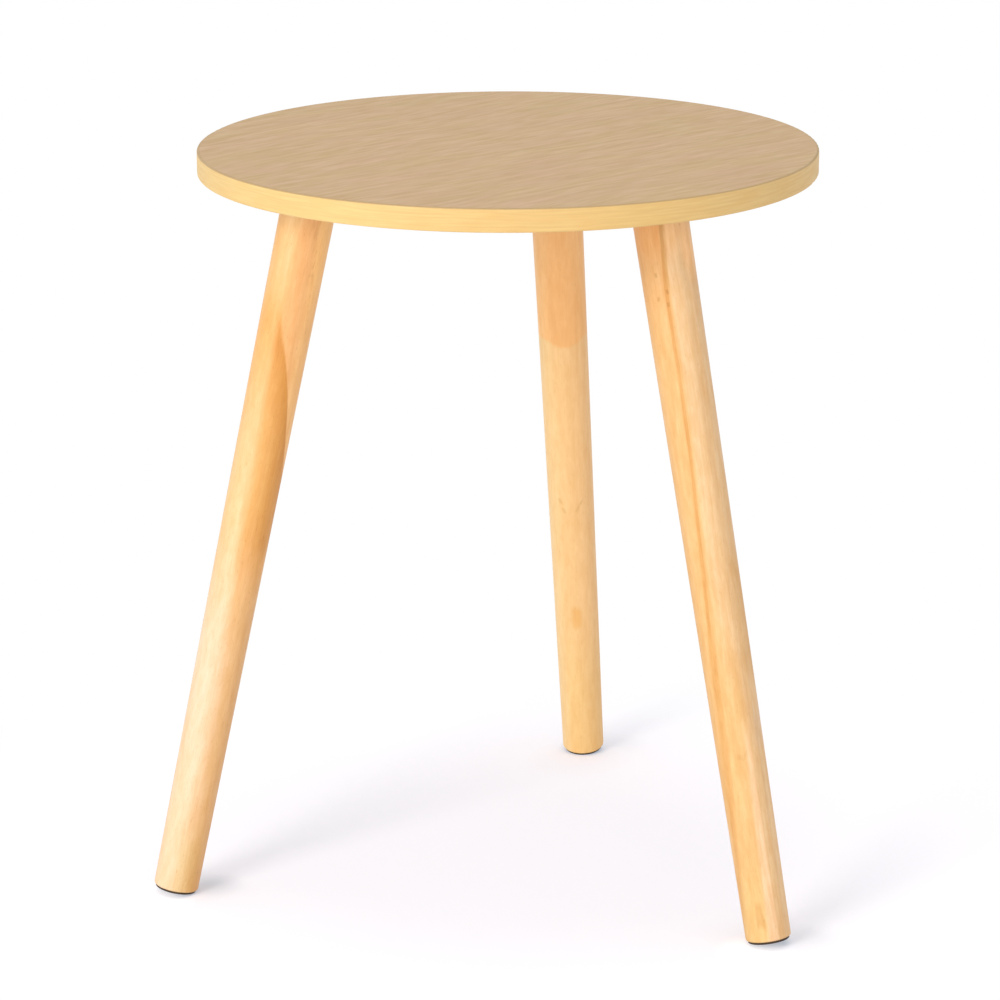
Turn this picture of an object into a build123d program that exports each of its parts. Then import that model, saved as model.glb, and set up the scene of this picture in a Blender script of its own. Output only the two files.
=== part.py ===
"""Round side table: a laminated round board on three splayed, tapered, turned legs.

Millimetres, +Z up. The origin is on the floor, on the axis of the round top.
One leg points along +Y (back); the other two are 120 degrees to each side of it.
"""

from build123d import *
import math
import os

# Whole table
TOP_DIAMETER = 400.0
HEIGHT = 487.0
BOARD_THICKNESS = 15.0

# Layers of the round top
LAMINATE = 0.5
BAND_THICKNESS = 1.5
BAND_ROUNDING = 1.0
BAND_SEAM_DEG = 0.1

# Legs: turned, with a straight taper, splayed outwards
LEG_AZIMUTHS = {"back": 90.0, "left": 210.0, "right": 330.0}
LEG_SPLAY_DEG = 12.1
LEG_AXIS_RADIUS = 128.7  # where a leg's axis meets the underside of the top
LEG_TOP_DIAMETER = 35.4
LEG_FOOT_DIAMETER = 29.2
LEG_TOP_CHAMFER = 1.0
LEG_FOOT_ROUNDING = 1.2

# Felt pad, stuck to the foot, which is cut square to the leg
PAD_DIAMETER = 26.6
PAD_THICKNESS = 1.5
PAD_ROUNDING = 0.3

# Pressed steel plate under the top, with a pad that is square to the leg
PLATE_SIDE = 58.0
PLATE_CORNER = 8.0
PLATE_SHEET = 2.0
PLATE_DROP = 14.0  # along the leg's axis, from the board to the leg's top face
DOME_PAD_RADIUS = 16.0
DOME_FLARE = 0.3  # growth of the dome's radius for each mm towards the board
DOME_REACH = 20.0  # how far up the dome's cones are drawn, before the board cuts them
DOME_BEND_RADIUS = 1.5
PLATE_BOLT_HOLE_RADIUS = 4.5

# M8 weld nut inside the plate
NUT_ACROSS_FLATS = 13.0
NUT_HEIGHT = 6.5
NUT_CHAMFER = 0.6

# Hanger bolt: machine thread above the leg's top face, wood thread below it
BOLT_RADIUS = 4.0
BOLT_NECK_RADIUS = 3.5
BOLT_END_GAP = 2.0  # along the axis, from the board to the bolt's end
BOLT_END_CHAMFER = 0.8
BOLT_NECK_LENGTH = 5.0
BOLT_WOOD_LENGTH = 32.0
BOLT_POINT_LENGTH = 7.0
BOLT_POINT_RADIUS = 0.6

# Pan-head screws that hold each plate
SCREW_SPACING = 43.0
SCREW_RADIUS = 1.9
SCREW_LENGTH = 12.0
SCREW_POINT_LENGTH = 3.0
SCREW_POINT_RADIUS = 0.3
SCREW_HEAD_RADIUS = 3.9
SCREW_HEAD_HEIGHT = 2.4
SCREW_HEAD_EDGE = 0.7  # straight side of the head, before it domes
SCREW_HOLE_RADIUS = 2.4
RECESS_WIDTH = 0.9
RECESS_LENGTH = 4.0
RECESS_DEPTH = 1.3
RECESS_TURNS_DEG = (20, 65, 40, 80)  # how each of a plate's four screws came to rest

CLEARANCE = 0.05  # round every fastener, in its hole
STANDING = (Align.CENTER, Align.CENTER, Align.MIN)

TOP_RADIUS = TOP_DIAMETER / 2
UNDERSIDE_Z = HEIGHT - BOARD_THICKNESS
CORE_RADIUS = TOP_RADIUS - BAND_THICKNESS
SPLAY = math.radians(LEG_SPLAY_DEG)

# Stations along a leg's axis, measured down from the underside of the top.
# The rounded inner edge of the pad stands on the floor, so the pad's centre is a little above it.
PAD_CENTRE_Z = (PAD_DIAMETER / 2 - PAD_ROUNDING) * math.sin(SPLAY)
PAD_CENTRE_Z += PAD_ROUNDING * (1 - math.cos(SPLAY))
PAD_END = (UNDERSIDE_Z - PAD_CENTRE_Z) / math.cos(SPLAY)
LEG_END = PAD_END - PAD_THICKNESS
LEG_START = PLATE_DROP


def turned(outline):
    """A solid turned about Z from a closed outline, whose points are (radius, height)."""
    return revolve(Plane.XZ * make_face(outline), Axis.Z)


def straight_sided(points):
    """A closed outline with a straight edge from each (radius, height) point to the next."""
    return Polyline(*points, close=True)


def leg_plane(azimuth_deg):
    """The frame of a leg: origin where its axis meets the board, Z up along the leg, X outwards."""
    azimuth = math.radians(azimuth_deg)
    out_x, out_y = math.cos(azimuth), math.sin(azimuth)
    return Plane(
        origin=(LEG_AXIS_RADIUS * out_x, LEG_AXIS_RADIUS * out_y, UNDERSIDE_Z),
        x_dir=(math.cos(SPLAY) * out_x, math.cos(SPLAY) * out_y, math.sin(SPLAY)),
        z_dir=(-math.sin(SPLAY) * out_x, -math.sin(SPLAY) * out_y, math.cos(SPLAY)),
    )


def plate_plane(azimuth_deg):
    """The frame of a mounting plate: the same origin, flat against the board, X outwards."""
    azimuth = math.radians(azimuth_deg)
    out_x, out_y = math.cos(azimuth), math.sin(azimuth)
    return Plane(
        origin=(LEG_AXIS_RADIUS * out_x, LEG_AXIS_RADIUS * out_y, UNDERSIDE_Z),
        x_dir=(out_x, out_y, 0),
        z_dir=(0, 0, 1),
    )


def screw_places():
    """The four screw positions in a plate's own frame."""
    return GridLocations(SCREW_SPACING, SCREW_SPACING, 2, 2)


# Round top


def pilot_holes():
    """The blind holes that the plate screws have made in the board."""
    depth = SCREW_LENGTH - PLATE_SHEET + CLEARANCE
    hole = Cylinder(SCREW_RADIUS + CLEARANCE, depth, align=STANDING)
    holes = []
    for azimuth in LEG_AZIMUTHS.values():
        frame = plate_plane(azimuth)
        holes += [frame * place * hole for place in screw_places()]
    return holes


def disc(bottom, top):
    """A disc of the board's core radius between two heights."""
    return Pos(0, 0, bottom) * Cylinder(CORE_RADIUS, top - bottom, align=STANDING)


def top_board():
    """The chipboard core, with the screws' pilot holes."""
    return disc(UNDERSIDE_Z + LAMINATE, HEIGHT - LAMINATE) - pilot_holes()


def top_laminate():
    """The wood-look sheet on the upper face."""
    return disc(HEIGHT - LAMINATE, HEIGHT)


def underside_laminate():
    """The balancing sheet on the lower face."""
    return disc(UNDERSIDE_Z, UNDERSIDE_Z + LAMINATE) - pilot_holes()


def edge_band():
    """The strip round the edge, with its outer corners rounded and its two ends butted at the back."""
    section = Plane.XZ * Pos((CORE_RADIUS + TOP_RADIUS) / 2, HEIGHT - BOARD_THICKNESS / 2)
    strip = section * Rectangle(BAND_THICKNESS, BOARD_THICKNESS)
    outer_corners = strip.vertices().filter_by(lambda v: v.X > CORE_RADIUS + BAND_THICKNESS / 2)
    strip = fillet(outer_corners, BAND_ROUNDING)
    turn = 360 - BAND_SEAM_DEG
    return Rot(0, 0, LEG_AZIMUTHS["back"] + BAND_SEAM_DEG / 2) * revolve(strip, Axis.Z, turn)


# Legs and what is on them


def bolt_in_wood(grow):
    """The outline of the bolt's wood thread; the leg's pilot hole is the same, grown a little."""
    neck_end = LEG_START + BOLT_NECK_LENGTH
    wood_end = neck_end + BOLT_WOOD_LENGTH
    tip = wood_end + BOLT_POINT_LENGTH
    return [
        (BOLT_RADIUS + grow, -neck_end),
        (BOLT_RADIUS + grow, -wood_end),
        (BOLT_POINT_RADIUS + grow, -tip - grow),
        (0, -tip - grow),
    ]


def leg(frame):
    """A turned leg: straight taper, chamfered top, rounded foot, pilot hole for the hanger bolt."""
    top_radius, foot_radius = LEG_TOP_DIAMETER / 2, LEG_FOOT_DIAMETER / 2
    corners = [
        (0, -LEG_START),
        (top_radius, -LEG_START),
        (foot_radius, -LEG_END),
        (0, -LEG_END),
    ]
    body = turned(straight_sided(corners))
    rims = body.edges().filter_by(GeomType.CIRCLE).sort_by(Axis.Z)
    body = fillet(rims[0], LEG_FOOT_ROUNDING)
    top_rim = body.edges().filter_by(GeomType.CIRCLE).sort_by(Axis.Z)[-1]
    body = chamfer(top_rim, LEG_TOP_CHAMFER)
    mouth = [(0, -LEG_START), (BOLT_RADIUS + CLEARANCE, -LEG_START)]
    pilot_hole = turned(straight_sided(mouth + bolt_in_wood(CLEARANCE)))
    return frame * (body - pilot_hole)


def hanger_bolt(frame):
    """Machine thread through the nut and plate, a neck at the leg's top face, wood thread in the leg."""
    machine_thread = [
        (0, -BOLT_END_GAP),
        (BOLT_RADIUS - BOLT_END_CHAMFER, -BOLT_END_GAP),
        (BOLT_RADIUS, -BOLT_END_GAP - BOLT_END_CHAMFER),
        (BOLT_RADIUS, -LEG_START),
    ]
    neck = [
        (BOLT_NECK_RADIUS, -LEG_START),
        (BOLT_NECK_RADIUS, -LEG_START - BOLT_NECK_LENGTH),
    ]
    return frame * turned(straight_sided(machine_thread + neck + bolt_in_wood(0)))


def foot_pad(frame):
    """The felt disc on the foot, with its lower edge a little rounded."""
    pad = Pos(0, 0, -PAD_END) * Cylinder(PAD_DIAMETER / 2, PAD_THICKNESS, align=STANDING)
    lower_rim = pad.edges().filter_by(GeomType.CIRCLE).sort_by(Axis.Z)[0]
    return frame * fillet(lower_rim, PAD_ROUNDING)


# Mounting plates


def dome(tilted, pad_radius, pad_station):
    """A cone about the leg's axis, widening upwards from a circle square to that axis."""
    wide_radius = pad_radius + DOME_FLARE * DOME_REACH
    corners = [
        (0, -pad_station),
        (pad_radius, -pad_station),
        (wide_radius, DOME_REACH - pad_station),
        (0, DOME_REACH - pad_station),
    ]
    return tilted * turned(straight_sided(corners))


def leg_plate(flat, tilted):
    """Pressed sheet: a flat flange with a dome whose end is square to the leg, all one thickness."""
    flange = flat * extrude(RectangleRounded(PLATE_SIDE, PLATE_SIDE, PLATE_CORNER), -PLATE_SHEET)
    below_board = flat * extrude(Rectangle(PLATE_SIDE, PLATE_SIDE), -PLATE_SIDE)
    wall_slope = math.hypot(1, DOME_FLARE)
    inner_radius = DOME_PAD_RADIUS + PLATE_SHEET * (DOME_FLARE - wall_slope)
    outside = dome(tilted, DOME_PAD_RADIUS, PLATE_DROP) & below_board
    inside = dome(tilted, inner_radius, PLATE_DROP - PLATE_SHEET)
    plate = flange + outside
    foot_of_dome = plate.edges().filter_by(GeomType.ELLIPSE)
    pad_rim = plate.edges().filter_by(lambda e: is_circle(e, DOME_PAD_RADIUS))
    plate = fillet(foot_of_dome + pad_rim, DOME_BEND_RADIUS)
    bolt_hole = Cylinder(PLATE_BOLT_HOLE_RADIUS, PLATE_SHEET, align=STANDING)
    bolt_hole = tilted * Pos(0, 0, -PLATE_DROP) * bolt_hole
    screw_hole = Pos(0, 0, -PLATE_SHEET) * Cylinder(SCREW_HOLE_RADIUS, PLATE_SHEET, align=STANDING)
    screw_holes = [flat * place * screw_hole for place in screw_places()]
    return plate - inside - bolt_hole - screw_holes


def is_circle(edge, radius):
    """True for a circular edge of this radius."""
    return edge.geom_type == GeomType.CIRCLE and abs(edge.radius - radius) < 0.01


def plate_nut(tilted):
    """Hexagon nut welded inside the dome."""
    corner_radius = NUT_ACROSS_FLATS / 2 / math.cos(math.pi / 6)
    hexagon = extrude(RegularPolygon(corner_radius, 6), NUT_HEIGHT)
    corners = [
        (0, 0),
        (corner_radius, 0),
        (corner_radius, NUT_HEIGHT - NUT_CHAMFER),
        (corner_radius - 2 * NUT_CHAMFER, NUT_HEIGHT),
        (0, NUT_HEIGHT),
    ]
    bore = Cylinder(BOLT_RADIUS + CLEARANCE, NUT_HEIGHT, align=STANDING)
    nut = (hexagon & turned(straight_sided(corners))) - bore
    return tilted * Pos(0, 0, PLATE_SHEET - PLATE_DROP) * nut


def pan_head_screw():
    """A screw with its head's seat at height 0, pointing up."""
    head_middle = (0, -SCREW_HEAD_HEIGHT)
    head_rim = (SCREW_HEAD_RADIUS, -SCREW_HEAD_EDGE)
    rise = SCREW_HEAD_HEIGHT - SCREW_HEAD_EDGE
    head_curve = (SCREW_HEAD_RADIUS**2 + rise**2) / (2 * rise)
    side = Polyline(
        head_middle,
        (0, SCREW_LENGTH),
        (SCREW_POINT_RADIUS, SCREW_LENGTH),
        (SCREW_RADIUS, SCREW_LENGTH - SCREW_POINT_LENGTH),
        (SCREW_RADIUS, 0),
        (SCREW_HEAD_RADIUS, 0),
        head_rim,
    )
    screw = turned(side + RadiusArc(head_rim, head_middle, head_curve))
    slot = Box(RECESS_WIDTH, RECESS_LENGTH, RECESS_DEPTH, align=STANDING)
    recess = Pos(0, 0, -SCREW_HEAD_HEIGHT) * (slot + Rot(0, 0, 90) * slot)
    return screw - recess


def plate_screws(flat):
    """The four screws of one plate, as separate solids in one group."""
    screw = Pos(0, 0, -PLATE_SHEET) * pan_head_screw()
    placed = [
        flat * place * Rot(0, 0, turn) * screw
        for place, turn in zip(screw_places(), RECESS_TURNS_DEG)
    ]
    return Compound(placed)


def main():
    nodes = {
        "top_board": top_board(),
        "top_laminate": top_laminate(),
        "underside_laminate": underside_laminate(),
        "edge_band": edge_band(),
    }
    for side, azimuth in LEG_AZIMUTHS.items():
        tilted, flat = leg_plane(azimuth), plate_plane(azimuth)
        nodes[f"leg_{side}"] = leg(tilted)
        nodes[f"hanger_bolt_{side}"] = hanger_bolt(tilted)
        nodes[f"foot_pad_{side}"] = foot_pad(tilted)
        nodes[f"leg_plate_{side}"] = leg_plate(flat, tilted)
        nodes[f"plate_nut_{side}"] = plate_nut(tilted)
        nodes[f"plate_screws_{side}"] = plate_screws(flat)
    os.makedirs("parts", exist_ok=True)
    for name, shape in nodes.items():
        export_step(shape, f"parts/{name}.step")


main()
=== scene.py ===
import math

import bpy
from mathutils import Matrix, Vector

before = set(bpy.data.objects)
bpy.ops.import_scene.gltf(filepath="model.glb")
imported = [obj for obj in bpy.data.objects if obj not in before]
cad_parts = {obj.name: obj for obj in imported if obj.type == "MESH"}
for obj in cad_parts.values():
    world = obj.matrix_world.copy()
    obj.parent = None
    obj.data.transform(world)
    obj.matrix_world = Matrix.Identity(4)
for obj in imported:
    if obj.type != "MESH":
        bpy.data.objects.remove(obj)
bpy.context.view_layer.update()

# Camera: where it stands, in metres, and where it looks
CAMERA_DISTANCE = 2.6761  # along the floor, from the table's axis
CAMERA_HEIGHT = 0.9983
CAMERA_AZIMUTH_DEG = 13.669  # from -Y towards +X
CAMERA_TURN_DEG = 0.1185
CAMERA_PITCH_DEG = 15.620  # downwards
CAMERA_ROLL_DEG = 0.118
CAMERA_LENS_MM = 151.78
SENSOR_MM = 36.0

# Light
WORLD_STRENGTH = 0.74
WHITE = (1.0, 1.0, 1.0, 1.0)
LAMP_DISTANCE = 5.0
TABLE_MIDDLE = Vector((0.0, 0.0, 0.25))
# Each lamp: direction from +X towards +Y, elevation, width in metres and power
LAMPS = {
    "key_lamp": (-112.6, 22.0, 2.0, 116.0),
    "fill_lamp": (-68.0, 6.0, 3.0, 44.0),
    "top_lamp": (0.0, 90.0, 2.2, 30.0),
}

# Floor, in metres: FLOOR_COLOUR lights the table, and the seen colour and the glow are what the camera sees
FLOOR_SIZE = 12.0
FLOOR_COLOUR = (0.85, 0.845, 0.90, 1.0)
FLOOR_SEEN_COLOUR = (0.80, 0.745, 0.72, 1.0)
FLOOR_GLOW = (0.67, 0.80, 1.0, 1.0)
FLOOR_GLOW_STRENGTH = 0.365
FLOOR_WHITENING = (0.25, 0.46)  # from the table's axis

# Floor at the feet: painted shadow beside them, and painted light under the raised edge of the two front ones
FOOT_PLACES = {"back": (0.0, 0.230), "left": (-0.199, -0.115), "right": (0.199, -0.115)}
FOOT_SHADOW_SHARES = {"back": 0.35, "left": 1.0, "right": 0.5}
FOOT_SHADOW_MOVE = (0.020, 0.018)
FOOT_SHADOW_SIZE = 0.028
FOOT_SHADOW_TINT = (0.775, 0.80, 0.81, 1.0)
FOOT_LIGHT_SHARES = {"left": 1.0, "right": 1.0}
FOOT_LIGHT_MOVE = (-0.006, -0.012)
FOOT_LIGHT_SIZE = 0.030
FOOT_LIGHT = (0.30, 0.25, 0.20, 1.0)

# The table, in millimetres, as in the solids
TOP_RADIUS = 200.0
TOP_HEIGHT = 487.0
BOARD_THICKNESS = 15.0
LEG_SPLAY_DEG = 12.1
LEG_AXIS_RADIUS = 128.7
LEG_AZIMUTH_DEG = {"back": 90.0, "left": 210.0, "right": 330.0}

# Which way the figure of each leg is turned: degrees round the leg, from its outward side
FIGURE_TURN_DEG = {"back": -166.0, "left": 74.0, "right": -47.0}

MM = 1000.0  # in a metre
FAR = 1000.0  # for a window that doesn't end on the table, in millimetres

# Sizes are those of a pattern's cells in millimetres, and a size of 0 leaves that axis out.
# Colours are linear, and a tint multiplies the colour under it. Reliefs are in millimetres.
# A window is (from, to, softness), and a ramp is (from, to, first value, last value).

# The values between which most of a noise lies
NOISE_RANGE = (0.3, 0.7)

# How strongly varnish and sheet reflect
SATIN = 0.35

# Sheet: along and across the grain
SHEET_GRAIN_DEG = 58.0  # from +X towards +Y
SHEET_SWAY_SIZES = (240.0, 130.0, 0.0)
SHEET_SWAY = 24.0
SHEET_HUE_SIZES = (90.0, 30.0, 0.0)
SHEET_HUE_RANGE = (0.35, 0.65)
SHEET_PATCH_SIZES = (50.0, 24.0, 0.0)
SHEET_PATCH_RANGE = (0.38, 0.62)
SHEET_BROAD_SIZES = (85.0, 8.0, 0.0)
SHEET_BROAD_DEPTH = 0.85
SHEET_NARROW_SIZES = (28.0, 3.8, 0.0)
SHEET_NARROW_DEPTHS = (0.5, 1.0)
SHEET_FIBRE_SIZES = (10.0, 0.8, 0.0)
SHEET_FIBRE_DEPTH = 0.5
SHEET_ROSE = (0.541, 0.354, 0.189, 1.0)
SHEET_STRAW = (0.530, 0.358, 0.174, 1.0)
SHEET_LIGHT_TINT = (1.04, 1.05, 1.08, 1.0)
SHEET_DARK_TINT = (0.95, 0.93, 0.90, 1.0)
SHEET_ROUGHNESS = (0.5, 0.6)
SHEET_RELIEF = 0.02

# Edge strip: round the top from its front towards +X, and up
EDGE_SWAY_SIZES = (60.0, 12.0, 0.0)
EDGE_SWAY = 2.6
EDGE_LINE_SIZES = (40.0, 1.3, 0.0)
EDGE_LINE_RANGE = (0.34, 0.7)
EDGE_PATCH_SIZES = (22.0, 6.0, 0.0)
EDGE_PATCH_SHARES = (0.4, 0.7, 0.0, 0.5)
EDGE_LIGHT = (0.745, 0.512, 0.204, 1.0)
EDGE_DARK = (0.690, 0.450, 0.172, 1.0)
EDGE_PATCH = (0.720, 0.448, 0.160, 1.0)
EDGE_PALER = (-330.0, -65.0, 80.0)
EDGE_PALER_TINT = (1.03, 1.06, 1.06, 1.0)
EDGE_WARMER = (35.0, 125.0, 85.0)
EDGE_WARMER_TINT = (0.98, 0.960, 0.91, 1.0)
EDGE_CORNER_HEIGHTS = (486.1, 486.5)
EDGE_CORNER = (0.460, 0.305, 0.135, 1.0)
EDGE_ROUGHNESS = (0.45, 0.55)
EDGE_RELIEF = 0.02

# Chipboard
CHIP_SIZES = (3.4, 3.4, 1.1)
CHIP_DARK = (0.30, 0.19, 0.10, 1.0)
CHIP_LIGHT = (0.52, 0.36, 0.20, 1.0)
CHIP_GAP = (0.16, 0.10, 0.05, 1.0)
CHIP_GAP_SHARES = (0.45, 0.9, 0.0, 0.5)
CHIP_ROUGHNESS = 0.85
CHIP_RELIEF = 0.2

# Each metal: colour, roughness and size of its crystals
METALS = {
    "zinc": ((0.72, 0.73, 0.74, 1.0), 0.32, 1.4),
    "plate_steel": ((0.46, 0.47, 0.48, 1.0), 0.42, 3.0),
}
CRYSTAL_SHADE = 0.72
CRYSTAL_RANGE = (0.35, 0.65)
CRYSTAL_SMOOTHER = 0.06
CRYSTAL_ROUGHER = 0.1
CRYSTAL_RELIEF = 0.01

# Felt
FELT_FIBRE_SIZES = (0.35, 0.35, 0.2)
FELT_TUFT_SIZES = (1.6, 1.6, 1.6)
FELT_DARK = (0.034, 0.022, 0.013, 1.0)
FELT_LIGHT = (0.105, 0.072, 0.044, 1.0)
FELT_TUFT = (0.055, 0.036, 0.022, 1.0)
FELT_FIBRE_RANGE = (0.35, 0.7)
FELT_TUFT_SHARES = (0.4, 0.7, 0.0, 0.4)
FELT_ROUGHNESS = 0.95
FELT_RELIEF = 0.15
FELT_SHEEN = 0.12
FELT_SPECULAR = 0.2

# Wood of the legs: across the figure, out of it and down the leg
WOOD_SWAY_SIZES = (26.0, 26.0, 90.0)
WOOD_SWAY = 14.0
WOOD_FIGURE_SIZES = (3.2, 16.0, 75.0)
WOOD_FIBRE_SIZES = (0.8, 0.8, 14.0)
WOOD_CLOUD_SIZES = (4.5, 4.5, 13.0)
WOOD_PORE_SIZES = (0.6, 0.6, 3.5)
WOOD_PORE_RANGE = (0.64, 0.75)
WOOD_LIGHT_TINT = (1.03, 1.07, 1.11, 1.0)
WOOD_DARK_TINT = (0.96, 0.91, 0.81, 1.0)
WOOD_ROUGHNESS = (0.42, 0.5)
WOOD_RELIEF = 0.03
PORE_RELIEF = 0.6  # as a share of the fibres'
PORE_TINT = (0.70, 0.56, 0.45, 1.0)
MARK_TINT = (0.77, 0.70, 0.54, 1.0)
WAVER_SIZES = {"back": (3.0, 3.0, 7.0), "left": (6.0, 6.0, 30.0), "right": (5.0, 5.0, 26.0)}
# Each leg: turn of its layers in degrees, depths of its figure, clouds and fibres, and depth of its pores
WOOD_FINISH = {
    "back": (80.0, (0.4, 0.4, 0.32), 0.2),
    "left": (35.0, (0.5, 0.5, 0.45), 0.4),
    "right": (10.0, (0.7, 0.6, 0.5), 0.3),
}
MARKED_SIDE = (3.0, 7.0)  # marks are only on the side that faces out of the figure
MARK_HALF_WIDTH = 0.2  # of the part that is fully dark

# In the legs, places are in millimetres across the figure and down from the underside of the top.
# A change of colour is (from, to, share, new colour), and a patch is (window across, window down,
# share, colour). The patches of a tint have the tint as their colour.

# Left leg: front and side
LEFT_FRONT = (0.83, 0.490, 0.203, 1.0)
LEFT_FRONT_CHANGES = [
    (58.0, 92.0, 1.0, (0.83, 0.430, 0.148, 1.0)),
    (98.0, 185.0, 1.0, (0.83, 0.535, 0.256, 1.0)),
    (205.0, 325.0, 1.0, (0.84, 0.605, 0.395, 1.0)),
    (350.0, 450.0, 1.0, (0.84, 0.590, 0.360, 1.0)),
]
LEFT_FRONT_STRIP = [((-10.5, -6.5, 3.5), (-FAR, 55.0, 30.0), 0.6, (0.86, 0.545, 0.245, 1.0))]
LEFT_SIDE = (0.83, 0.440, 0.172, 1.0)
# The far edge of the side is painted lighter near the top: painted light where the table top shades the leg
LEFT_EDGE_PAINTED_LIGHTER_PLACE = (7.5, 12.5)
LEFT_EDGE_PAINTED_LIGHTER = (0.99, 0.585, 0.228, 1.0)
LEFT_EDGE_PAINTED_LIGHTER_CHANGES = [(55.0, 95.0, 1.0, (0.94, 0.545, 0.220, 1.0))]
LEFT_CRACK_SIZES = (1.6, 1.6, 12.0)
LEFT_CRACK_RANGE = (0.54, 0.66)
LEFT_CRACKS = [((6.0, 11.0, 2.0), (15.0, 55.0, 14.0), 0.5, (0.70, 0.345, 0.115, 1.0))]
LEFT_SIDE_CHANGES = [
    (200.0, 300.0, 1.0, (0.785, 0.450, 0.190, 1.0)),
    (400.0, 470.0, 0.9, (0.745, 0.405, 0.158, 1.0)),
]
LEFT_FOOT_TINT = [((1.0, 9.0, 5.0), (455.0, FAR, 30.0), 1.0, (0.94, 0.98, 0.88, 1.0))]

# Left leg: where its front meets its side, as (down, across) points
LEFT_LINE = [(0.0, -2.7), (110.0, -2.6), (240.0, -2.0), (300.0, 0.8), (360.0, 2.6), (480.0, 3.6)]
LEFT_LINE_WAVER = 5.0
LEFT_LINE_SOFTNESS = (100.0, 330.0, 1.3, 7.5)

# Left leg: the orange streak, whose upper end runs through (across, down) points
STREAK_START = [(-4.0, 86.0), (0.0, 99.0), (7.5, 126.0), (11.8, 148.0), (14.5, 171.0), (18.0, 215.0)]
STREAK_START_WAVER = 6.0
STREAK_START_SOFTNESS = (-4.0, 6.0, 8.0, 2.5)
STREAK_START_RANGE = (-0.5, 1.2)
STREAK_END = (215.0, 268.0, 1.0, 0.0)
STREAK_END_WAVER = 40.0
STREAK_END_DELAY = (6.0, 13.0, 0.0, 18.0)
STREAK_LEFT_EDGE = (135.0, 195.0, -4.7, -1.9)
STREAK_LEFT_WAVER = 3.0
STREAK_LEFT_SOFTNESS = (135.0, 195.0, 2.4, 4.4)
STREAK_DARK_START = (66.0, 6.0)
STREAK_DARK_SIDE = (3.0, 10.0, 0.0, 0.6)
STREAK_LIGHT = (0.765, 0.392, 0.119, 1.0)
STREAK_DARK = (0.680, 0.302, 0.067, 1.0)

# Back leg: the arched joint between its two lengths of wood
ARCH_DOWN = 153.0
ARCH_MIDDLE = 1.5
ARCH_STEEPNESS = 0.034
ARCH_RISE = 4.6
ARCH_WAVER = 3.0
ARCH_SOFTNESS = (-2.2, 2.2)

# Back leg: colours of the two lengths
# The upper length is painted lighter above 75 to 130 mm down: painted light that stands in for light near the
# underside of the top
BACK_UPPER = (0.97, 0.540, 0.212, 1.0)
BACK_UPPER_CHANGES = [(75.0, 130.0, 1.0, (0.92, 0.495, 0.186, 1.0))]
BACK_WIDTH = (-9.0, 9.0)
BACK_LOWER_LEFT = (0.93, 0.600, 0.270, 1.0)
BACK_LOWER_RIGHT = (0.895, 0.545, 0.238, 1.0)
BACK_FOOT_PLACE = (350.0, 440.0, 0.0, 0.8)
BACK_FOOT_LEFT = (0.94, 0.610, 0.245, 1.0)
BACK_FOOT_RIGHT = (0.850, 0.525, 0.203, 1.0)
BACK_LEFT_RIM = (-6.5, -11.5)
BACK_UPPER_RIM = (0.99, 0.575, 0.235, 1.0)
BACK_LOWER_RIM = (0.95, 0.650, 0.310, 1.0)

# Back leg: a patch and four small marks, each (across, down, lean)
BACK_PATCH = [((-1.8, 1.4, 3.0), (361.0, 371.0, 6.0), 0.75, (0.88, 0.475, 0.150, 1.0))]
BACK_MARKS = [(-5.4, 279.5, 0.35), (-7.9, 272.0, 0.4), (4.3, 278.5, -0.4), (6.7, 274.0, -0.5)]
BACK_MARK_SHARE = 0.45
BACK_MARK_WIDTH = 1.6
BACK_MARK_LENGTH = 3.0
BACK_MARK_WAVERS = (1.5, 4.0)  # across and down

# Right leg: the long joint, as (down, across) points
RIGHT_LINE = [
    (0.0, 0.5),
    (26.0, -0.8),
    (55.0, -2.6),
    (150.0, -3.0),
    (200.0, -4.8),
    (250.0, -6.7),
    (310.0, -9.2),
    (360.0, -10.0),
    (420.0, -12.3),
    (480.0, -15.8),
]
RIGHT_LINE_WAVER = 1.0
RIGHT_LINE_SOFTNESS = (-0.5, 0.5)

# Right leg: the darker wood, left of the joint; its colour above 18 mm down is painted lighter, as painted
# light near the underside of the top
RIGHT_DARKER = (0.96, 0.490, 0.180, 1.0)
RIGHT_DARKER_CHANGES = [
    (18.0, 46.0, 1.0, (0.775, 0.436, 0.178, 1.0)),
    (52.0, 95.0, 1.0, (0.79, 0.468, 0.194, 1.0)),
]

# Right leg: the lighter wood, right of the joint
RIGHT_LIGHTER_RANGE = (-6.0, 2.0)
RIGHT_LIGHTER_LEFT = (0.785, 0.480, 0.210, 1.0)
RIGHT_LIGHTER_RIGHT = (0.795, 0.508, 0.260, 1.0)
# Painted light at the top of the lighter wood, reaching further down towards its right
RIGHT_PAINTED_LIGHT_TOP = (48.0, 20.0)
RIGHT_PAINTED_LIGHT_TOP_DELAY = (8.0, 13.0, 0.0, 14.0)
RIGHT_PAINTED_LIGHT_TOP_COLOUR = (0.99, 0.600, 0.285, 1.0)
RIGHT_YELLOW_DOWN = (240.0, 325.0)
RIGHT_YELLOW_ACROSS = (8.0, 2.5)
RIGHT_YELLOW_WAVERS = (4.0, 30.0)  # across and down
RIGHT_YELLOW = (0.785, 0.465, 0.190, 1.0)
RIGHT_YELLOW_CHANGES = [(415.0, 460.0, 1.0, (0.80, 0.515, 0.215, 1.0))]
RIGHT_SHOULDER = (8.8, 11.4, 1.8)
RIGHT_SHOULDER_WAVER = 3.0
RIGHT_SHOULDER_SHARE = 0.8
RIGHT_SHOULDER_TINT = (0.92, 0.90, 0.88, 1.0)
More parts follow.
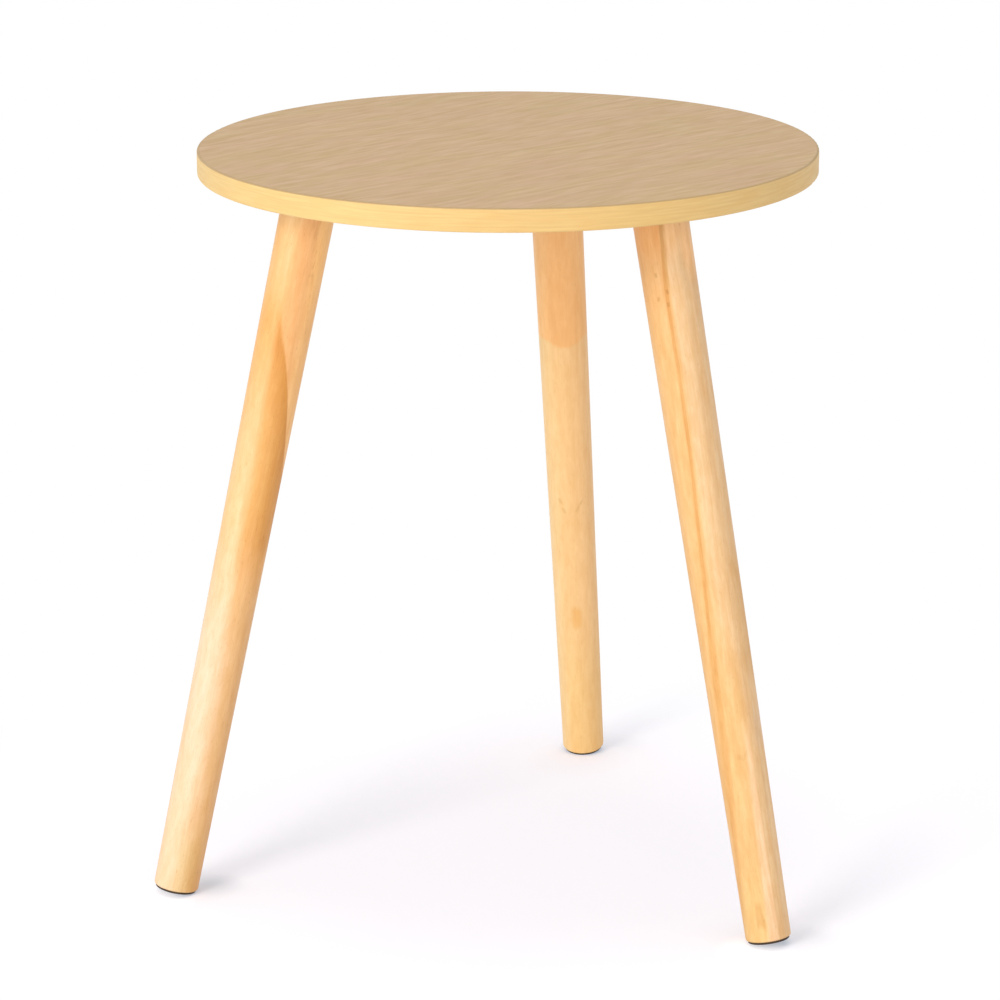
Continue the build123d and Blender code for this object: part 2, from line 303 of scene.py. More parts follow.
RIGHT_TINTS = [
    ((13.0, FAR, 4.5), (240.0, 292.0, 24.0), 1.0, (0.94, 0.88, 0.76, 1.0)),
    ((2.0, 9.0, 2.0), (302.0, 322.0, 18.0), 1.0, (0.96, 0.92, 0.86, 1.0)),
    ((12.0, FAR, 3.5), (336.0, 345.0, 14.0), 1.0, (0.97, 1.0, 1.10, 1.0)),
    ((0.5, 9.0, 2.0), (456.0, FAR, 18.0), 1.0, (0.96, 0.935, 0.91, 1.0)),
    ((-9.0, -3.5, 2.0), (362.0, 384.0, 14.0), 1.0, (1.0, 1.06, 1.10, 1.0)),
]

# Right leg: the pale stripe near the foot, whose left edge runs through (down, across) points
STRIPE_LEFT = [(320.0, 6.0), (380.0, 2.4), (420.0, 1.3), (480.0, -0.5)]
STRIPE_LEFT_SOFTNESS = (-1.2, 2.2)
STRIPE_RIGHT = (7.6, 6.6)
STRIPE_DOWN = (334.0, 364.0)
STRIPE = (0.86, 0.560, 0.318, 1.0)

# Right leg: the joint itself, with places across counted from its line, and the seam beside the stripe
HALO_WIDTH = (-1.1, 1.3, 1.7)
HALO_SHARES = (370.0, 450.0, 0.6, 0.3)
HALO = (0.765, 0.420, 0.145, 1.0)
JOINT_WIDTH = (-0.9, 0.4, 0.9)
JOINT_SHARES = (350.0, 450.0, 0.8, 0.4)
JOINT_UNEVENNESS = (-0.3, 0.2, 0.65, 1.1)
JOINT = (0.68, 0.325, 0.092, 1.0)
JOINT_PATCHES = [
    ((0.0, 1.5, 0.9), (38.0, 52.0, 10.0), 0.7, (0.66, 0.345, 0.105, 1.0)),
    ((-1.4, 1.6, 1.5), (290.0, 380.0, 22.0), 0.7, (0.73, 0.385, 0.130, 1.0)),
]
SEAM = [((6.9, 7.3, 0.7), (395.0, FAR, 60.0), 0.28, (0.62, 0.360, 0.150, 1.0))]

# Right leg: an arched mark, a smudge near the foot and four small marks, each (across, down, lean)
BROW_DOWN = 357.0
BROW_BEND = -0.12
BROW = [((-2.0, 3.0, 2.4), (-0.8, 1.2, 1.8), 0.5, (0.70, 0.390, 0.150, 1.0))]  # down from its arch
SMUDGE = [((-5.0, -1.8, 2.2), (456.0, 466.0, 6.0), 0.8, (0.70, 0.380, 0.128, 1.0))]
SMUDGE_WAVERS = (6.0, 7.0)  # across and down
RIGHT_MARKS = [(-8.2, 48.0, 0.1), (-8.7, 63.0, -0.1), (-2.6, 59.0, 0.1), (-3.2, 67.0, 0.0)]
RIGHT_MARK_SHARE = 0.75
RIGHT_MARK_WIDTH = 1.2
RIGHT_MARK_LENGTH = 2.0


def on_floor_plan(degrees_from_x):
    """A unit vector along the floor, that far from +X towards +Y."""
    angle = math.radians(degrees_from_x)
    return Vector((math.cos(angle), math.sin(angle), 0.0))


def camera_axes():
    """Right, down and forward of the camera, as unit vectors."""
    pitch = math.radians(CAMERA_PITCH_DEG)
    roll = math.radians(CAMERA_ROLL_DEG)
    right = on_floor_plan(CAMERA_AZIMUTH_DEG + CAMERA_TURN_DEG)
    ahead = Vector((-right.y, right.x, 0.0))
    forward = math.cos(pitch) * ahead - math.sin(pitch) * Vector((0.0, 0.0, 1.0))
    down = forward.cross(right)
    rolled_right = math.cos(roll) * right + math.sin(roll) * down
    rolled_down = math.cos(roll) * down - math.sin(roll) * right
    return rolled_right, rolled_down, forward


def make_camera():
    right, down, forward = camera_axes()
    data = bpy.data.cameras.new("camera")
    data.sensor_width = SENSOR_MM
    data.lens = CAMERA_LENS_MM
    camera = bpy.data.objects.new("camera", data)
    turn = Matrix((right, -down, -forward)).transposed().to_4x4()
    place = CAMERA_DISTANCE * on_floor_plan(CAMERA_AZIMUTH_DEG - 90.0)
    place.z = CAMERA_HEIGHT
    camera.matrix_world = Matrix.Translation(place) @ turn
    bpy.context.scene.collection.objects.link(camera)
    bpy.context.scene.camera = camera


def make_lamp(name, azimuth_deg, elevation_deg, width, power):
    """A round soft lamp that faces the table."""
    elevation = math.radians(elevation_deg)
    towards = math.cos(elevation) * on_floor_plan(azimuth_deg)
    towards.z = math.sin(elevation)
    data = bpy.data.lights.new(name, "AREA")
    data.shape = "DISK"
    data.size = width
    data.energy = power
    lamp = bpy.data.objects.new(name, data)
    lamp.location = TABLE_MIDDLE + LAMP_DISTANCE * towards
    lamp.rotation_mode = "QUATERNION"
    lamp.rotation_quaternion = towards.to_track_quat("Z", "Y")
    bpy.context.scene.collection.objects.link(lamp)


class Graph:
    """A node tree, with one short call for each kind of node."""

    def __init__(self, tree):
        self.tree = tree
        tree.nodes.clear()

    def put(self, socket, value):
        if isinstance(value, bpy.types.NodeSocket):
            self.tree.links.new(value, socket)
        else:
            socket.default_value = value

    def node(self, kind, inputs=(), **settings):
        made = self.tree.nodes.new(kind)
        for name, value in settings.items():
            setattr(made, name, value)
        for socket, value in dict(inputs).items():
            self.put(made.inputs[socket], value)
        return made

    def math(self, operation, *values):
        made = self.node("ShaderNodeMath", enumerate(values), operation=operation)
        return made.outputs[0]

    def times(self, first, *others):
        """The product of sockets and numbers."""
        for other in others:
            first = self.math("MULTIPLY", first, other)
        return first

    def vector(self, operation, *values):
        made = self.node("ShaderNodeVectorMath", enumerate(values), operation=operation)
        gives_a_number = operation in ("LENGTH", "DISTANCE")
        return made.outputs["Value" if gives_a_number else "Vector"]

    def combine(self, x, y, z):
        return self.node("ShaderNodeCombineXYZ", {0: x, 1: y, 2: z}).outputs[0]

    def separate(self, place):
        return self.node("ShaderNodeSeparateXYZ", {0: place}).outputs

    def in_cells(self, place, sizes):
        """The place counted in cells of these sizes; a size of 0 leaves that axis out."""
        return self.vector("MULTIPLY", place, tuple(1 / size if size else 0.0 for size in sizes))

    def noise(self, place, sizes, detail=2.0, roughness=0.5):
        """Noise from 0 to 1, about 0.5, with cells of these sizes."""
        made = self.node(
            "ShaderNodeTexNoise",
            {"Vector": self.in_cells(place, sizes), "Scale": 1.0, "Detail": detail, "Roughness": roughness},
        )
        return made.outputs["Fac"]

    def step(self, value, low, high, start=0.0, end=1.0):
        """Goes smoothly from start to end while value goes from low to high, and stays there."""
        made = self.node(
            "ShaderNodeMapRange",
            {"Value": value, "From Min": low, "From Max": high, "To Min": start, "To Max": end},
            interpolation_type="SMOOTHSTEP",
        )
        return made.outputs[0]

    def spread(self, noise, start=0.0, end=1.0):
        """Goes from start to end over most of a noise's values."""
        return self.step(noise, *NOISE_RANGE, start, end)

    def window(self, value, low, high, soft):
        """1 from low to high, falling to 0 over soft on each side."""
        rise = self.step(value, low - soft, low)
        fall = self.step(value, high, high + soft, 1.0, 0.0)
        return self.times(rise, fall)

    def mix(self, share, first, second, blend="MIX"):
        made = self.tree.nodes.new("ShaderNodeMix")
        made.data_type = "RGBA"
        made.blend_type = blend
        self.put(made.inputs[0], share)
        self.put(made.inputs[6], first)
        self.put(made.inputs[7], second)
        return made.outputs[2]

    def grain(self, colour, pattern, depth, light_tint, dark_tint):
        """The colour made lighter and darker by a noise."""
        tint = self.mix(self.spread(pattern), light_tint, dark_tint)
        return self.mix(depth, colour, tint, "MULTIPLY")

    def changing(self, value, colour, changes):
        """A colour that turns into others, each between two values and up to its share."""
        for start, end, share, new_colour in changes:
            colour = self.mix(self.step(value, start, end, 0.0, share), colour, new_colour)
        return colour

    def patches(self, ground, across, down, patches, blend="MIX", strength=1.0):
        """Patches of other colours on the ground, each in its window across and its window down."""
        for across_window, down_window, share, colour in patches:
            inside = self.times(self.window(across, *across_window), self.window(down, *down_window))
            ground = self.mix(self.times(inside, strength, share), ground, colour, blend)
        return ground

    def curve(self, value, points):
        """A smooth curve of value through (value, result) points."""
        low, high = points[0][0], points[-1][0]
        results = [result for _, result in points]
        bottom, top = min(results), max(results)
        share = self.node("ShaderNodeMapRange", {"Value": value, "From Min": low, "From Max": high})
        made = self.node("ShaderNodeFloatCurve", {"Value": share.outputs[0]})
        line = made.mapping.curves[0]
        while len(line.points) < len(points):
            line.points.new(0.5, 0.5)
        for point, (place, result) in zip(line.points, points):
            point.location = ((place - low) / (high - low), (result - bottom) / (top - bottom))
        made.mapping.update()
        return self.math("MULTIPLY_ADD", made.outputs[0], top - bottom, bottom)


def new_material(name):
    material = bpy.data.materials.new(name)
    material.use_nodes = True
    return material, Graph(material.node_tree)


def shade(graph, colour, roughness, height, relief_mm, **fixed):
    """Ends a material: the shader, its bump and the output."""
    bump = graph.node("ShaderNodeBump", {"Height": height, "Distance": relief_mm / MM, "Strength": 1.0})
    shader = graph.node(
        "ShaderNodeBsdfPrincipled",
        {"Base Color": colour, "Roughness": roughness, "Normal": bump.outputs[0]},
    )
    for socket, value in fixed.items():
        shader.inputs[socket.replace("_", " ")].default_value = value
    output = graph.node("ShaderNodeOutputMaterial")
    graph.put(output.inputs["Surface"], shader.outputs[0])


def place_in_mm(graph):
    """The point on the table, in millimetres."""
    where = graph.node("ShaderNodeTexCoord").outputs["Object"]
    return graph.vector("MULTIPLY", where, (MM, MM, MM))


def turned(graph, place, rotation, move=(0.0, 0.0, 0.0)):
    """The place in axes that are turned and moved."""
    made = graph.node(
        "ShaderNodeMapping",
        {"Vector": place, "Rotation": rotation, "Location": move},
        vector_type="POINT",
    )
    return made.outputs[0]


def seen_directly(graph):
    """1 for camera, reflected and transmitted rays, and 0 for the light that falls on things."""
    path = graph.node("ShaderNodeLightPath")
    seen = graph.math("MAXIMUM", path.outputs["Is Camera Ray"], path.outputs["Is Glossy Ray"])
    return graph.math("MAXIMUM", seen, path.outputs["Is Transmission Ray"])


def make_world():
    world = bpy.data.worlds.new("studio")
    bpy.context.scene.world = world
    world.use_nodes = True
    graph = Graph(world.node_tree)
    strength = graph.math("MULTIPLY_ADD", seen_directly(graph), 1.0 - WORLD_STRENGTH, WORLD_STRENGTH)
    background = graph.node("ShaderNodeBackground", {"Color": WHITE, "Strength": strength})
    output = graph.node("ShaderNodeOutputWorld")
    graph.put(output.inputs["Surface"], background.outputs[0])


def near_feet(graph, where, shares, move, size):
    """Each foot's share on the floor a small way from it, falling to 0 over size."""
    total = 0.0
    for side, share in shares.items():
        x, y = FOOT_PLACES[side]
        away = graph.vector("DISTANCE", where, (x + move[0], y + move[1], 0.0))
        total = graph.math("ADD", total, graph.step(away, 0.0, size, share, 0.0))
    return total


def floor_material():
    """A pale floor that keeps the table's shadow, with painted shadow beside the feet and painted light under
    the two front ones, and that turns white away from the table.
    """
    material, graph = new_material("floor")
    where = graph.node("ShaderNodeTexCoord").outputs["Object"]
    seen = seen_directly(graph)
    # beside is the share of painted shadow at each foot, and under is the share of painted light
    beside = near_feet(graph, where, FOOT_SHADOW_SHARES, FOOT_SHADOW_MOVE, FOOT_SHADOW_SIZE)
    under = near_feet(graph, where, FOOT_LIGHT_SHARES, FOOT_LIGHT_MOVE, FOOT_LIGHT_SIZE)
    seen_colour = graph.mix(beside, FLOOR_SEEN_COLOUR, FOOT_SHADOW_TINT, "MULTIPLY")
    glow_colour = graph.mix(beside, FLOOR_GLOW, FOOT_SHADOW_TINT, "MULTIPLY")
    paint = graph.node("ShaderNodeBsdfDiffuse", {"Color": graph.mix(seen, FLOOR_COLOUR, seen_colour)})
    lit = paint.outputs[0]
    # the second emission is the painted light under the raised edge of the front feet
    for colour, strength in ((glow_colour, FLOOR_GLOW_STRENGTH), (FOOT_LIGHT, under)):
        glow = graph.node("ShaderNodeEmission", {"Color": colour, "Strength": graph.times(seen, strength)})
        lit = graph.node("ShaderNodeAddShader", {0: lit, 1: glow.outputs[0]}).outputs[0]
    white = graph.node("ShaderNodeEmission", {"Color": WHITE, "Strength": 1.0})
    far = graph.step(graph.vector("LENGTH", where), *FLOOR_WHITENING)
    both = graph.node("ShaderNodeMixShader", {0: graph.times(seen, far), 1: lit, 2: white.outputs[0]})
    output = graph.node("ShaderNodeOutputMaterial")
    graph.put(output.inputs["Surface"], both.outputs[0])
    return material


def make_floor():
    half = FLOOR_SIZE / 2
    corners = [(-half, -half, 0), (half, -half, 0), (half, half, 0), (-half, half, 0)]
    mesh = bpy.data.meshes.new("floor")
    mesh.from_pydata(corners, [], [(0, 1, 2, 3)])
    mesh.materials.append(floor_material())
    floor = bpy.data.objects.new("floor", mesh)
    bpy.context.scene.collection.objects.link(floor)


def dress(node_name, material):
    """Gives a carried-over solid its material."""
    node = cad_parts[node_name]
    node.data.materials.clear()
    node.data.materials.append(material)


def sheet_material():
    """Wood-look sheet: long soft streaks of two browns, with fine embossed fibres."""
    material, graph = new_material("wood_look_sheet")
    place = turned(graph, place_in_mm(graph), (0.0, 0.0, -math.radians(SHEET_GRAIN_DEG)))
    sway = graph.noise(place, SHEET_SWAY_SIZES, 1.0)
    place = graph.vector("ADD", place, graph.combine(0.0, graph.times(sway, SHEET_SWAY), 0.0))
    hue = graph.noise(place, SHEET_HUE_SIZES, 2.0, 0.6)
    patches = graph.noise(place, SHEET_PATCH_SIZES, 1.0)
    broad = graph.noise(place, SHEET_BROAD_SIZES)
    narrow = graph.noise(place, SHEET_NARROW_SIZES)
    fibre = graph.noise(place, SHEET_FIBRE_SIZES)
    narrow_depth = graph.step(patches, *SHEET_PATCH_RANGE, *SHEET_NARROW_DEPTHS)
    colour = graph.mix(graph.step(hue, *SHEET_HUE_RANGE), SHEET_ROSE, SHEET_STRAW)
    for pattern, depth in ((broad, SHEET_BROAD_DEPTH), (narrow, narrow_depth), (fibre, SHEET_FIBRE_DEPTH)):
        colour = graph.grain(colour, pattern, depth, SHEET_LIGHT_TINT, SHEET_DARK_TINT)
    roughness = graph.spread(narrow, *SHEET_ROUGHNESS)
    shade(graph, colour, roughness, fibre, SHEET_RELIEF, Specular_IOR_Level=SATIN)
    return material


def edge_material():
    """Edge strip: yellower than the sheet, with fine lines along its length and a browner upper corner."""
    material, graph = new_material("edge_strip")
    x, y, height = graph.separate(place_in_mm(graph))
    round_the_top = graph.times(graph.math("ARCTAN2", x, graph.times(y, -1.0)), TOP_RADIUS)
    strip = graph.combine(round_the_top, height, 0.0)
    sway = graph.noise(strip, EDGE_SWAY_SIZES, 1.0)
    strip = graph.vector("ADD", strip, graph.combine(0.0, graph.times(sway, EDGE_SWAY), 0.0))
    lines = graph.noise(strip, EDGE_LINE_SIZES, 3.0, 0.6)
    patches = graph.noise(strip, EDGE_PATCH_SIZES)
    colour = graph.mix(graph.step(lines, *EDGE_LINE_RANGE), EDGE_LIGHT, EDGE_DARK)
    colour = graph.mix(graph.step(patches, *EDGE_PATCH_SHARES), colour, EDGE_PATCH)
    for window, tint in ((EDGE_PALER, EDGE_PALER_TINT), (EDGE_WARMER, EDGE_WARMER_TINT)):
        colour = graph.mix(graph.window(round_the_top, *window), colour, tint, "MULTIPLY")
    colour = graph.mix(graph.step(height, *EDGE_CORNER_HEIGHTS), colour, EDGE_CORNER)
    roughness = graph.spread(lines, *EDGE_ROUGHNESS)
    shade(graph, colour, roughness, lines, EDGE_RELIEF, Specular_IOR_Level=SATIN)
    return material


def chipboard_material():
    """Pressed chips of several browns."""
    material, graph = new_material("chipboard")
    place = graph.in_cells(place_in_mm(graph), CHIP_SIZES)
    chips = graph.node("ShaderNodeTexVoronoi", {"Vector": place, "Scale": 1.0}).outputs
    hue = graph.node("ShaderNodeSeparateColor", {0: chips["Color"]}).outputs[0]
    colour = graph.mix(hue, CHIP_DARK, CHIP_LIGHT)
    colour = graph.mix(graph.step(chips["Distance"], *CHIP_GAP_SHARES), colour, CHIP_GAP)
    shade(graph, colour, CHIP_ROUGHNESS, chips["Distance"], CHIP_RELIEF)
    return material


def metal_material(name, colour, roughness, crystal_mm):
    """Plated steel: faint crystals of lighter and darker metal."""
    material, graph = new_material(name)
    crystals = graph.noise(place_in_mm(graph), (crystal_mm,) * 3, 3.0, 0.6)
    dark = tuple(CRYSTAL_SHADE * value for value in colour[:3]) + (1.0,)
    tone = graph.mix(graph.step(crystals, *CRYSTAL_RANGE), dark, colour)
    rough = graph.spread(crystals, roughness - CRYSTAL_SMOOTHER, roughness + CRYSTAL_ROUGHER)
    shade(graph, tone, rough, crystals, CRYSTAL_RELIEF, Metallic=1.0)
    return material


def felt_material():
    """Dense dark felt with short tangled fibres."""
    material, graph = new_material("felt")
    place = place_in_mm(graph)
    fibres = graph.noise(place, FELT_FIBRE_SIZES, 3.0, 0.7)
    tufts = graph.noise(place, FELT_TUFT_SIZES)
    colour = graph.mix(graph.step(fibres, *FELT_FIBRE_RANGE), FELT_DARK, FELT_LIGHT)
    colour = graph.mix(graph.step(tufts, *FELT_TUFT_SHARES), colour, FELT_TUFT)
    shade(
        graph,
        colour,
        FELT_ROUGHNESS,
        fibres,
        FELT_RELIEF,
        Sheen_Weight=FELT_SHEEN,
        Specular_IOR_Level=FELT_SPECULAR,
    )
    return material


def leg_axes(side):
    """Across the figure, out of it and down the leg, and the point where the leg's axis meets the top."""
    splay = math.radians(LEG_SPLAY_DEG)
    turn = math.radians(FIGURE_TURN_DEG[side])
    up = Vector((0.0, 0.0, 1.0))
    outward = on_floor_plan(LEG_AZIMUTH_DEG[side])
    sideways = up.cross(outward)
    down = math.sin(splay) * outward - math.cos(splay) * up
    outer = math.cos(splay) * outward + math.sin(splay) * up
    front = math.cos(turn) * outer + math.sin(turn) * sideways
    across = math.cos(turn) * sideways - math.sin(turn) * outer
    start = LEG_AXIS_RADIUS * outward + (TOP_HEIGHT - BOARD_THICKNESS) * up
    return across, front, down, start


class Leg:
    """The wood of one leg while it is made: its graph, places in the leg, and a waver about 0."""

    def __init__(self, side):
        self.material, self.graph = new_material("leg_" + side)
        across, front, down, start = leg_axes(side)
        turn = Matrix((across, front, down))
        self.place = turned(self.graph, place_in_mm(self.graph), turn.to_euler(), -(turn @ start))
        self.across, self.front, self.down = self.graph.separate(self.place)
        self.waver = self.graph.math("SUBTRACT", self.graph.noise(self.place, WAVER_SIZES[side]), 0.5)

    def wavering(self, value, size):
        """The value, wavering by about this much."""
        return self.graph.math("MULTIPLY_ADD", self.waver, size, value)

    def marked_side(self, share=1.0):
        """The share on the side that has the marks, and 0 on the other."""
        return self.graph.step(self.front, *MARKED_SIDE, 0.0, share)


def small_marks(graph, ground, across, down, share, width, length, places):
    """Short dark marks on a leg, each at its place across and down it, and leaning."""
    for mark_across, mark_down, lean in places:
        below = graph.math("SUBTRACT", down, mark_down)
        sloped = graph.math("MULTIPLY_ADD", below, -lean, across)
        wide = graph.window(sloped, mark_across - MARK_HALF_WIDTH, mark_across + MARK_HALF_WIDTH, width)
        long = graph.window(below, -length / 3, length / 3, 0.7 * length)
        ground = graph.mix(graph.times(wide, long, share), ground, MARK_TINT, "MULTIPLY")
    return ground


def finish_wood(leg, colour, layers_turn_deg, depths, pore_depth):
    """Adds figure, clouds, fibres and pores to the ground colour of a leg, and ends its material."""
    graph = leg.graph
    layers = turned(graph, leg.place, (0.0, 0.0, math.radians(layers_turn_deg)))
    sway = graph.noise(leg.place, WOOD_SWAY_SIZES, 1.0)
    layers = graph.vector("ADD", layers, graph.combine(graph.times(sway, WOOD_SWAY), 0.0, 0.0))
    figure = graph.noise(layers, WOOD_FIGURE_SIZES, 3.0, 0.55)
    cloud = graph.noise(leg.place, WOOD_CLOUD_SIZES, 2.0, 0.6)
    fibre = graph.noise(leg.place, WOOD_FIBRE_SIZES, 2.0, 0.6)
    for pattern, depth in zip((figure, cloud, fibre), depths):
        colour = graph.grain(colour, pattern, depth, WOOD_LIGHT_TINT, WOOD_DARK_TINT)
    pores = graph.step(graph.noise(leg.place, WOOD_PORE_SIZES, 1.0), *WOOD_PORE_RANGE)
    colour = graph.mix(graph.times(pores, pore_depth), colour, PORE_TINT, "MULTIPLY")
    relief = graph.math("SUBTRACT", fibre, graph.times(pores, PORE_RELIEF))
    roughness = graph.spread(figure, *WOOD_ROUGHNESS)
    shade(graph, colour, roughness, relief, WOOD_RELIEF, Specular_IOR_Level=SATIN)


def left_side(leg):
    """The tan side of the left leg, with fine cracks near the top and painted light on its far edge."""
    graph = leg.graph
    # painted light on the far edge of the side
    edge = graph.changing(leg.down, LEFT_EDGE_PAINTED_LIGHTER, LEFT_EDGE_PAINTED_LIGHTER_CHANGES)
    side = graph.mix(graph.step(leg.across, *LEFT_EDGE_PAINTED_LIGHTER_PLACE), LEFT_SIDE, edge)
    cracked = graph.step(graph.noise(leg.place, LEFT_CRACK_SIZES), *LEFT_CRACK_RANGE)
    side = graph.patches(side, leg.across, leg.down, LEFT_CRACKS, strength=cracked)
    return graph.changing(leg.down, side, LEFT_SIDE_CHANGES)


def left_streak(leg):
    """Where the orange streak of the left leg is, and its colour."""
    graph = leg.graph
    start = graph.curve(leg.across, STREAK_START)
    past_start = graph.math("SUBTRACT", leg.wavering(leg.down, STREAK_START_WAVER), start)
    start_softness = graph.step(leg.across, *STREAK_START_SOFTNESS)
    begun = graph.step(graph.math("DIVIDE", past_start, start_softness), *STREAK_START_RANGE)
    delay = graph.step(leg.across, *STREAK_END_DELAY)
    lasting = graph.step(graph.math("SUBTRACT", leg.wavering(leg.down, STREAK_END_WAVER), delay), *STREAK_END)
    left_edge = graph.step(leg.down, *STREAK_LEFT_EDGE)
    past_left = graph.math("SUBTRACT", leg.wavering(leg.across, STREAK_LEFT_WAVER), left_edge)
    left_softness = graph.step(leg.down, *STREAK_LEFT_SOFTNESS)
    inside = graph.step(graph.math("DIVIDE", past_left, left_softness), -1.0, 1.0)
    at_start = graph.step(past_start, *STREAK_DARK_START)
    darkness = graph.math("MAXIMUM", at_start, graph.step(leg.across, *STREAK_DARK_SIDE))
    return graph.times(begun, lasting, inside), graph.mix(darkness, STREAK_LIGHT, STREAK_DARK)


def left_wood(leg):
    """Pale at the front, tan at the side, with one orange streak that leaves towards the side."""
    graph = leg.graph
    front = graph.changing(leg.down, LEFT_FRONT, LEFT_FRONT_CHANGES)
    front = graph.patches(front, leg.across, leg.down, LEFT_FRONT_STRIP)
    past_line = graph.math("SUBTRACT", leg.across, graph.curve(leg.down, LEFT_LINE))
    past_line = leg.wavering(past_line, LEFT_LINE_WAVER)
    softness = graph.step(leg.down, *LEFT_LINE_SOFTNESS)
    past_line = graph.step(graph.math("DIVIDE", past_line, softness), -1.0, 1.0)
    ground = graph.mix(past_line, front, left_side(leg))
    streak, streak_colour = left_streak(leg)
    ground = graph.mix(streak, ground, streak_colour)
    return graph.patches(ground, leg.across, leg.down, LEFT_FOOT_TINT, "MULTIPLY")


def back_wood(leg):
    """Two lengths of wood, the upper one darker but painted lighter near the top, meeting in a shallow arch,
    with a few small marks below.
    """
    graph = leg.graph
    off_middle = graph.math("SUBTRACT", leg.across, ARCH_MIDDLE)
    arch = graph.math("MINIMUM", graph.times(off_middle, off_middle, ARCH_STEEPNESS), ARCH_RISE)
    below = graph.math("ADD", graph.math("SUBTRACT", leg.down, ARCH_DOWN), arch)
    below = graph.step(leg.wavering(below, ARCH_WAVER), *ARCH_SOFTNESS)
    # painted light near the top of the upper length
    upper = graph.changing(leg.down, BACK_UPPER, BACK_UPPER_CHANGES)
    rightwards = graph.step(leg.across, *BACK_WIDTH)
    lower = graph.mix(rightwards, BACK_LOWER_LEFT, BACK_LOWER_RIGHT)
    foot = graph.mix(rightwards, BACK_FOOT_LEFT, BACK_FOOT_RIGHT)
    lower = graph.mix(graph.step(leg.down, *BACK_FOOT_PLACE), lower, foot)
    left_rim = graph.step(leg.across, *BACK_LEFT_RIM)
    upper = graph.mix(left_rim, upper, BACK_UPPER_RIM)
    lower = graph.mix(left_rim, lower, BACK_LOWER_RIM)
    ground = graph.mix(below, upper, lower)
    across = leg.wavering(leg.across, BACK_MARK_WAVERS[0])
    down = leg.wavering(leg.down, BACK_MARK_WAVERS[1])
    ground = graph.patches(ground, across, down, BACK_PATCH, strength=leg.marked_side())
    return small_marks(
        graph,
        ground,
        across,
        down,
        leg.marked_side(BACK_MARK_SHARE),
        BACK_MARK_WIDTH,
        BACK_MARK_LENGTH,
        BACK_MARKS,
    )


def right_lighter_wood(leg):
    """The wood right of the joint: orange, with painted light at the top, yellower low down, with a pale
    stripe near the foot.
    """
    graph = leg.graph
    colour = graph.mix(graph.step(leg.across, *RIGHT_LIGHTER_RANGE), RIGHT_LIGHTER_LEFT, RIGHT_LIGHTER_RIGHT)
    # painted light at the top
    from_top = graph.math("SUBTRACT", leg.down, graph.step(leg.across, *RIGHT_PAINTED_LIGHT_TOP_DELAY))
    colour = graph.mix(graph.step(from_top, *RIGHT_PAINTED_LIGHT_TOP), colour, RIGHT_PAINTED_LIGHT_TOP_COLOUR)
    low = graph.step(leg.wavering(leg.down, RIGHT_YELLOW_WAVERS[1]), *RIGHT_YELLOW_DOWN)
    left = graph.step(leg.wavering(leg.across, RIGHT_YELLOW_WAVERS[0]), *RIGHT_YELLOW_ACROSS)
    yellow = graph.changing(leg.down, RIGHT_YELLOW, RIGHT_YELLOW_CHANGES)
    colour = graph.mix(graph.times(low, left), colour, yellow)
    shoulder = graph.window(leg.wavering(leg.across, RIGHT_SHOULDER_WAVER), *RIGHT_SHOULDER)
    shoulder = graph.times(shoulder, RIGHT_SHOULDER_SHARE)
    colour = graph.mix(shoulder, colour, RIGHT_SHOULDER_TINT, "MULTIPLY")
    past_left = graph.math("SUBTRACT", leg.across, graph.curve(leg.down, STRIPE_LEFT))
    stripe = graph.times(
        graph.step(past_left, *STRIPE_LEFT_SOFTNESS),
        graph.step(leg.across, *STRIPE_RIGHT),
        graph.step(leg.down, *STRIPE_DOWN),
    )
    colour = graph.mix(stripe, colour, STRIPE)
    return graph.patches(colour, leg.across, leg.down, RIGHT_TINTS, "MULTIPLY")


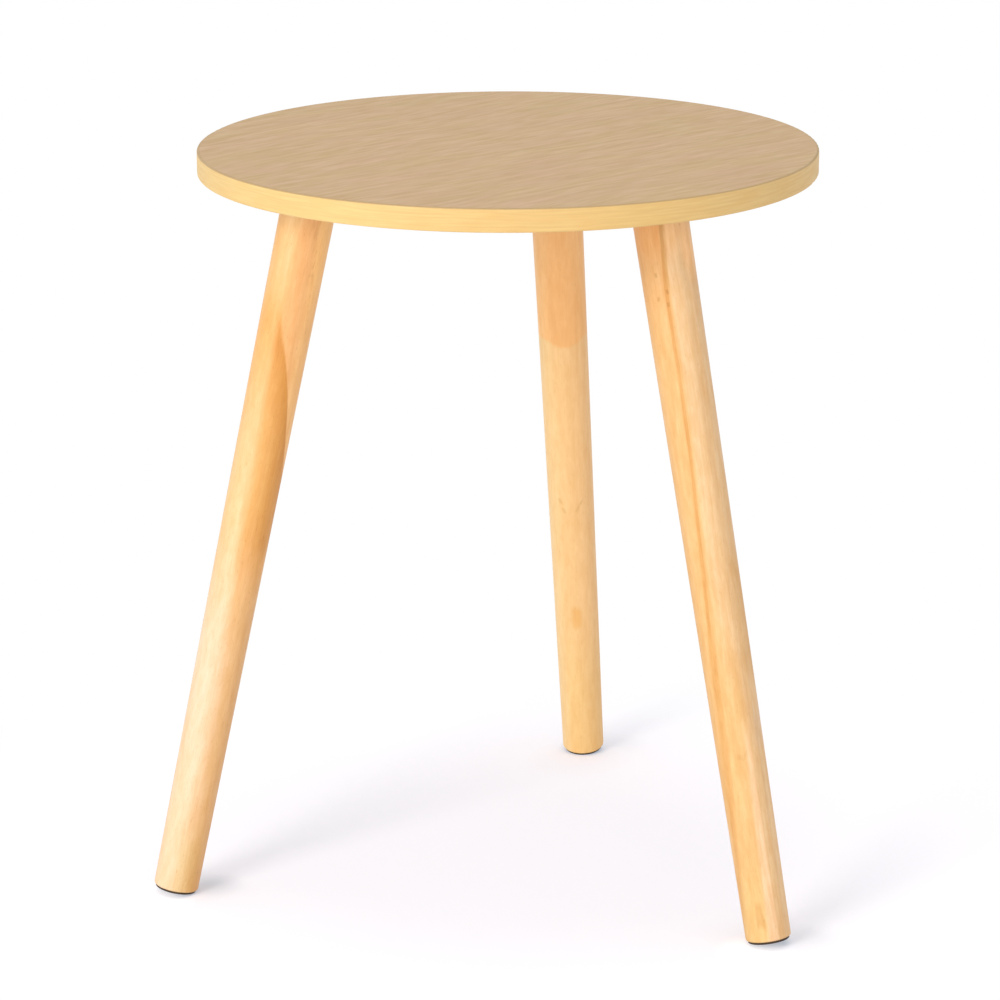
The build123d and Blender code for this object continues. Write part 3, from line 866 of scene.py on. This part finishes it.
def right_marks(leg, ground):
    """The arched mark, the smudge and the small marks of the right leg."""
    graph = leg.graph
    marked = leg.marked_side()
    across = leg.wavering(leg.across, SMUDGE_WAVERS[0])
    down = leg.wavering(leg.down, SMUDGE_WAVERS[1])
    brow_line = graph.math("MULTIPLY_ADD", graph.times(leg.across, leg.across), BROW_BEND, BROW_DOWN)
    below_brow = graph.math("SUBTRACT", down, brow_line)
    ground = graph.patches(ground, leg.across, below_brow, BROW, strength=marked)
    ground = graph.patches(ground, across, down, SMUDGE, strength=marked)
    return small_marks(
        graph,
        ground,
        leg.across,
        leg.down,
        leg.marked_side(RIGHT_MARK_SHARE),
        RIGHT_MARK_WIDTH,
        RIGHT_MARK_LENGTH,
        RIGHT_MARKS,
    )


def right_wood(leg):
    """Darker and lighter wood on the two sides of one long joint, and a pale stripe near the foot."""
    graph = leg.graph
    line = graph.curve(leg.down, RIGHT_LINE)
    past_line = graph.math("SUBTRACT", leg.wavering(leg.across, RIGHT_LINE_WAVER), line)
    # RIGHT_DARKER is painted lighter at the top, as painted light
    darker = graph.changing(leg.down, RIGHT_DARKER, RIGHT_DARKER_CHANGES)
    ground = graph.mix(graph.step(past_line, *RIGHT_LINE_SOFTNESS), darker, right_lighter_wood(leg))
    halo = graph.times(graph.window(past_line, *HALO_WIDTH), graph.step(leg.down, *HALO_SHARES))
    ground = graph.mix(halo, ground, HALO)
    joint = graph.times(
        graph.window(past_line, *JOINT_WIDTH),
        graph.step(leg.down, *JOINT_SHARES),
        graph.step(leg.waver, *JOINT_UNEVENNESS),
    )
    ground = graph.mix(joint, ground, JOINT)
    ground = graph.patches(ground, past_line, leg.down, JOINT_PATCHES)
    ground = graph.patches(ground, leg.across, leg.down, SEAM)
    return right_marks(leg, ground)


def leg_material(side, wood):
    leg = Leg(side)
    finish_wood(leg, wood(leg), *WOOD_FINISH[side])
    return leg.material


bpy.context.scene.view_settings.view_transform = "Standard"
make_camera()
make_world()
for lamp_name, lamp_facts in LAMPS.items():
    make_lamp(lamp_name, *lamp_facts)
make_floor()

sheet = sheet_material()
felt = felt_material()
metals = {metal: metal_material(metal, *metal_facts) for metal, metal_facts in METALS.items()}

dress("top_board", chipboard_material())
dress("top_laminate", sheet)
dress("underside_laminate", sheet)
dress("edge_band", edge_material())
for leg_side, leg_wood in (("back", back_wood), ("left", left_wood), ("right", right_wood)):
    dress("leg_" + leg_side, leg_material(leg_side, leg_wood))
    dress("foot_pad_" + leg_side, felt)
    dress("leg_plate_" + leg_side, metals["plate_steel"])
    for fitting in ("hanger_bolt_", "plate_nut_", "plate_screws_"):
        dress(fitting + leg_side, metals["zinc"])
